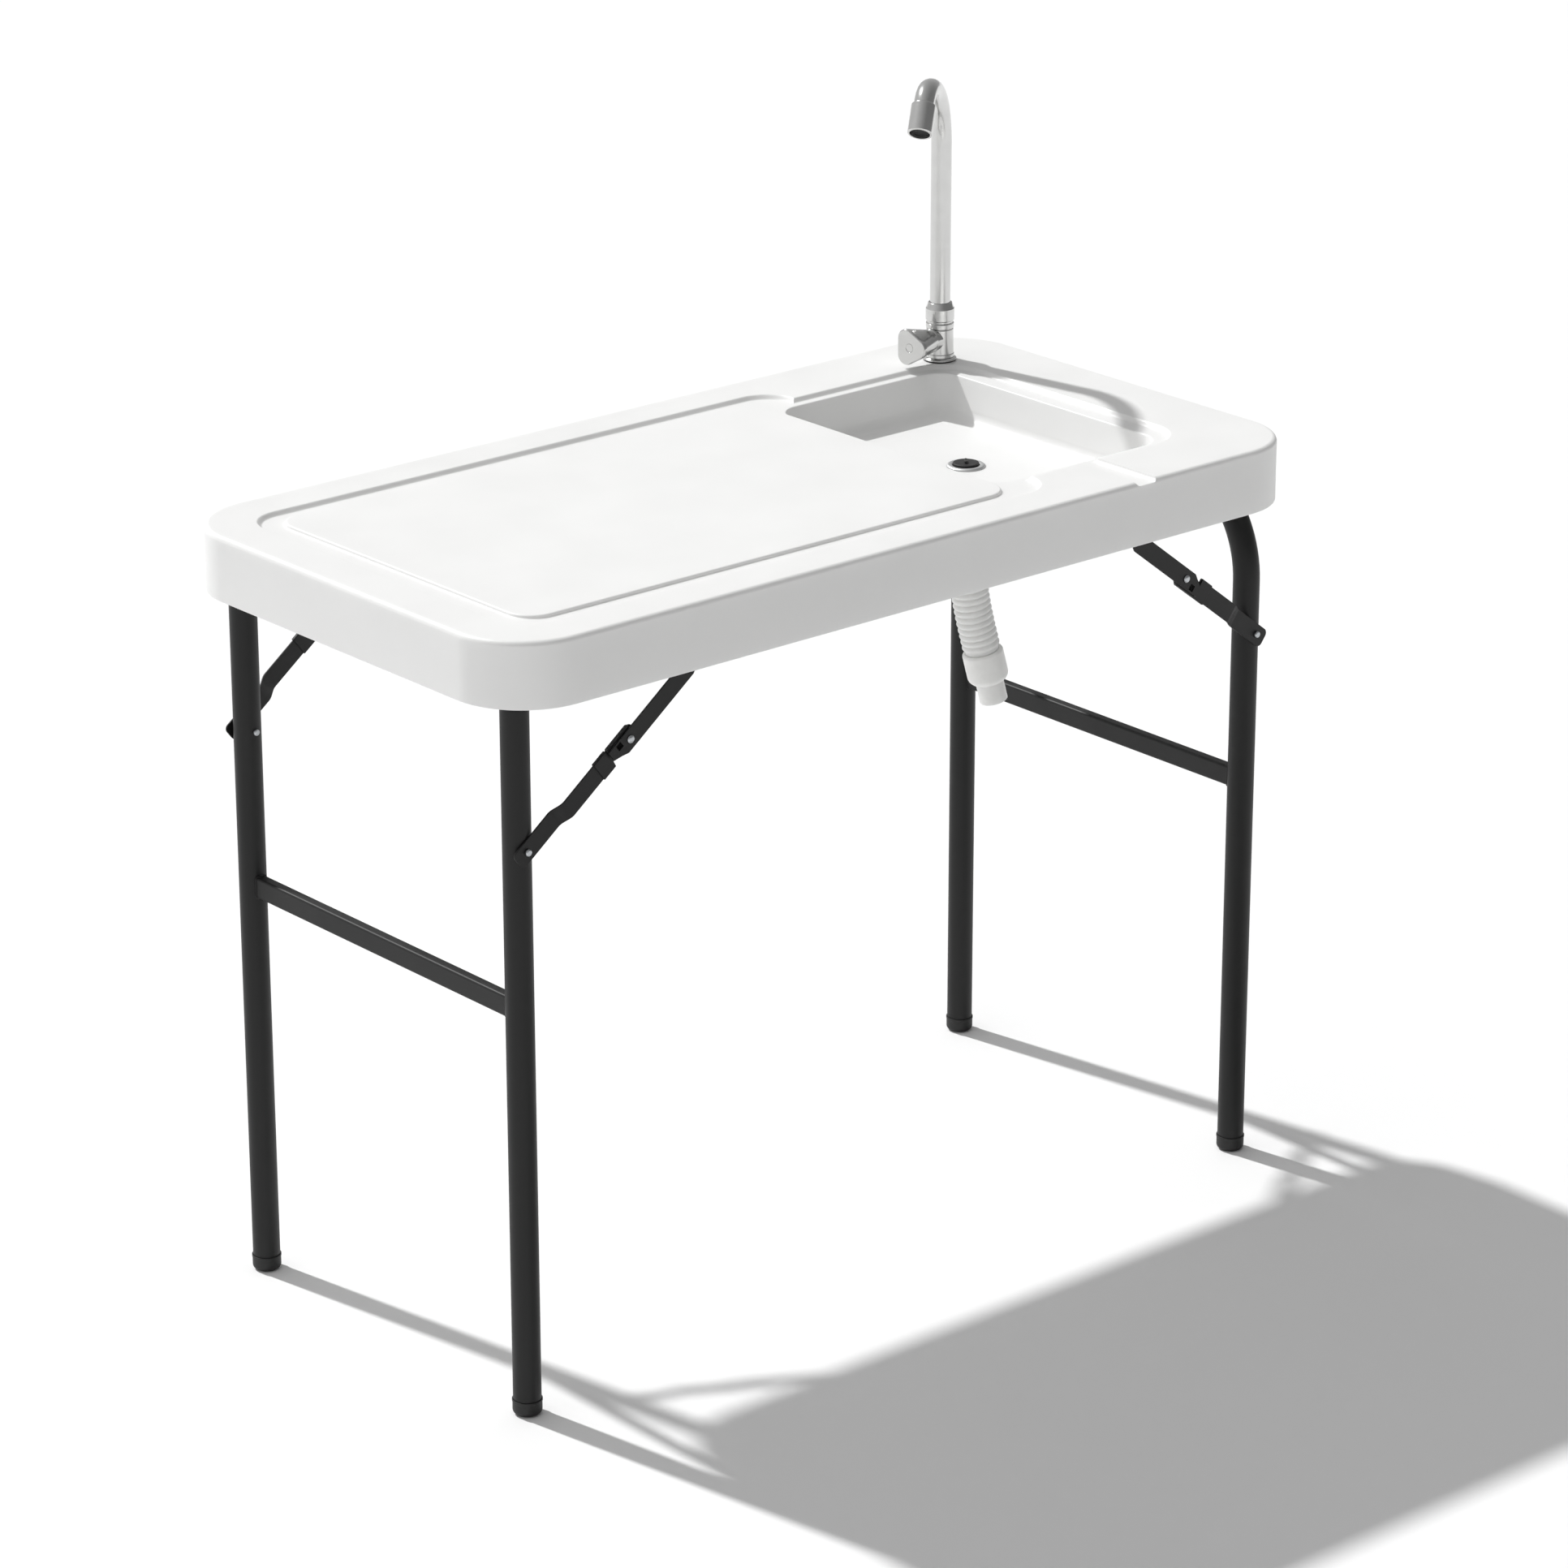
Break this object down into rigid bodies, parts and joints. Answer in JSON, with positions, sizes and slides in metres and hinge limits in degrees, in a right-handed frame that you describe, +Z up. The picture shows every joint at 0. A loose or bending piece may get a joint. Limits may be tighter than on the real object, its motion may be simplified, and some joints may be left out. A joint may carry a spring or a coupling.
{
  "type": "folding fish cleaning table",
  "caption": "Folding outdoor fish cleaning table: moulded top with a work recess, sink, swivel gooseneck tap and drain hose on folding leg frames with locking braces.",
  "frame": {"origin": "on the floor, under the middle of the table top", "axes": "+Z up; +X along the table towards the sink end; +Y towards the long side that carries the tap"},
  "size_m": [1.15, 0.594, 1.2479],
  "materials": {
    "white_plastic": "satin white moulded plastic",
    "black_paint": "satin black powder coat",
    "black_rubber": "matt black",
    "grey_plastic": "light grey moulded plastic",
    "drain_steel": "satin steel",
    "zinc_steel": "zinc plated",
    "brushed_chrome": "brushed chrome"
  },
  "bodies": {
    "tabletop": {"tabletop": "white_plastic", "rail_front": "black_paint", "rail_back": "black_paint", "drain_body": "drain_steel", "drain_nut": "grey_plastic", "drain_hose": "grey_plastic", "hose_cuff": "grey_plastic", "hose_spigot": "grey_plastic", "tap_gasket": "black_rubber", "tap_flange": "brushed_chrome", "tap_body": "brushed_chrome", "tap_washer": "zinc_steel", "tap_lock_nut": "zinc_steel", "tap_collar_nut": "brushed_chrome", "tap_valve_boss": "brushed_chrome", "left_front_bracket": "black_paint", "left_back_bracket": "black_paint", "right_front_bracket": "black_paint", "right_back_bracket": "black_paint"},
    "left_leg_frame": {"left_leg_tube": "black_paint", "left_cross_bar": "black_paint", "left_front_foot_cap": "black_rubber", "left_back_foot_cap": "black_rubber", "left_front_leg_bolt": "zinc_steel", "left_back_leg_bolt": "zinc_steel"},
    "left_front_lower_arm": {"left_front_lower_arm": "black_paint"},
    "left_front_upper_arm": {"left_front_upper_arm": "black_paint", "left_front_knee_rivet": "zinc_steel", "left_front_rail_rivet": "zinc_steel"},
    "left_front_lock_ring": {"left_front_lock_ring": "black_paint"},
    "left_back_lower_arm": {"left_back_lower_arm": "black_paint"},
    "left_back_upper_arm": {"left_back_upper_arm": "black_paint", "left_back_knee_rivet": "zinc_steel", "left_back_rail_rivet": "zinc_steel"},
    "left_back_lock_ring": {"left_back_lock_ring": "black_paint"},
    "right_leg_frame": {"right_leg_tube": "black_paint", "right_cross_bar": "black_paint", "right_front_foot_cap": "black_rubber", "right_back_foot_cap": "black_rubber", "right_front_leg_bolt": "zinc_steel", "right_back_leg_bolt": "zinc_steel"},
    "right_front_lower_arm": {"right_front_lower_arm": "black_paint"},
    "right_front_upper_arm": {"right_front_upper_arm": "black_paint", "right_front_knee_rivet": "zinc_steel", "right_front_rail_rivet": "zinc_steel"},
    "right_front_lock_ring": {"right_front_lock_ring": "black_paint"},
    "right_back_lower_arm": {"right_back_lower_arm": "black_paint"},
    "right_back_upper_arm": {"right_back_upper_arm": "black_paint", "right_back_knee_rivet": "zinc_steel", "right_back_rail_rivet": "zinc_steel"},
    "right_back_lock_ring": {"right_back_lock_ring": "black_paint"},
    "spout": {"tap_spout": "brushed_chrome", "spout_tip": "brushed_chrome", "spout_aerator": "black_rubber"},
    "tap_knob": {"tap_knob": "brushed_chrome"},
    "drain_stopper": {"drain_stopper": "black_rubber"}
  },
  "joints": [
    {"name": "left_frame_fold", "type": "hinge", "parent": "tabletop", "child": "left_leg_frame", "pos_m": [-0.5255, 0, 0.85], "axis": [0, -1, 0], "range_deg": [0, 91]},
    {"name": "left_front_leg_bolt_pivot", "type": "hinge", "parent": "left_leg_frame", "child": "left_front_lower_arm", "pos_m": [-0.5255, -0.2397, 0.652], "axis": [0, 1, 0], "range_deg": [0, 135.56]},
    {"name": "left_front_knee_pivot", "type": "hinge", "parent": "left_front_lower_arm", "child": "left_front_upper_arm", "pos_m": [-0.39753, -0.2397, 0.75003], "axis": [0, -1, 0], "range_deg": [0, 189.62]},
    {"name": "left_front_lock_slide", "type": "slide", "parent": "left_front_lower_arm", "child": "left_front_lock_ring", "axis": [-0.7939, 0, -0.6081], "range_m": [0, 0.02]},
    {"name": "left_back_leg_bolt_pivot", "type": "hinge", "parent": "left_leg_frame", "child": "left_back_lower_arm", "pos_m": [-0.5255, 0.2397, 0.652], "axis": [0, 1, 0], "range_deg": [0, 135.56]},
    {"name": "left_back_knee_pivot", "type": "hinge", "parent": "left_back_lower_arm", "child": "left_back_upper_arm", "pos_m": [-0.39753, 0.2397, 0.75003], "axis": [0, -1, 0], "range_deg": [0, 189.62]},
    {"name": "left_back_lock_slide", "type": "slide", "parent": "left_back_lower_arm", "child": "left_back_lock_ring", "axis": [-0.7939, 0, -0.6081], "range_m": [0, 0.02]},
    {"name": "right_frame_fold", "type": "hinge", "parent": "tabletop", "child": "right_leg_frame", "pos_m": [0.539, 0, 0.841], "axis": [0, 1, 0], "range_deg": [0, 87.5]},
    {"name": "right_front_leg_bolt_pivot", "type": "hinge", "parent": "right_leg_frame", "child": "right_front_lower_arm", "pos_m": [0.539, -0.2397, 0.652], "axis": [0, -1, 0], "range_deg": [0, 128.76]},
    {"name": "right_front_knee_pivot", "type": "hinge", "parent": "right_front_lower_arm", "child": "right_front_upper_arm", "pos_m": [0.41103, -0.2397, 0.75003], "axis": [0, 1, 0], "range_deg": [0, 182.42]},
    {"name": "right_front_lock_slide", "type": "slide", "parent": "right_front_lower_arm", "child": "right_front_lock_ring", "axis": [0.7939, 0, -0.6081], "range_m": [0, 0.02]},
    {"name": "right_back_leg_bolt_pivot", "type": "hinge", "parent": "right_leg_frame", "child": "right_back_lower_arm", "pos_m": [0.539, 0.2397, 0.652], "axis": [0, -1, 0], "range_deg": [0, 128.76]},
    {"name": "right_back_knee_pivot", "type": "hinge", "parent": "right_back_lower_arm", "child": "right_back_upper_arm", "pos_m": [0.41103, 0.2397, 0.75003], "axis": [0, 1, 0], "range_deg": [0, 182.42]},
    {"name": "right_back_lock_slide", "type": "slide", "parent": "right_back_lower_arm", "child": "right_back_lock_ring", "axis": [0.7939, 0, -0.6081], "range_m": [0, 0.02]},
    {"name": "spout_swivel", "type": "hinge", "parent": "tabletop", "child": "spout", "pos_m": [0.469, 0.2106, 0.95], "axis": [0, 0, 1], "range_deg": [-150, 150]},
    {"name": "tap_knob_turn", "type": "hinge", "parent": "tabletop", "child": "tap_knob", "pos_m": [0.469, 0.2106, 0.9177], "axis": [-0.9836, -0.1805, 0], "range_deg": [0, 90]},
    {"name": "stopper_lift", "type": "slide", "parent": "tabletop", "child": "drain_stopper", "axis": [0, 0, 1], "range_m": [0, 0.05]}
  ],
  "couplings": [
    {"joint": "left_front_leg_bolt_pivot", "follows": "left_frame_fold", "ratio": 1.4891},
    {"joint": "left_front_knee_pivot", "follows": "left_frame_fold", "ratio": 2.0832},
    {"joint": "left_back_leg_bolt_pivot", "follows": "left_frame_fold", "ratio": 1.4891},
    {"joint": "left_back_knee_pivot", "follows": "left_frame_fold", "ratio": 2.0832},
    {"joint": "right_front_leg_bolt_pivot", "follows": "right_frame_fold", "ratio": 1.4709},
    {"joint": "right_front_knee_pivot", "follows": "right_frame_fold", "ratio": 2.0842},
    {"joint": "right_back_leg_bolt_pivot", "follows": "right_frame_fold", "ratio": 1.4709},
    {"joint": "right_back_knee_pivot", "follows": "right_frame_fold", "ratio": 2.0842}
  ]
}
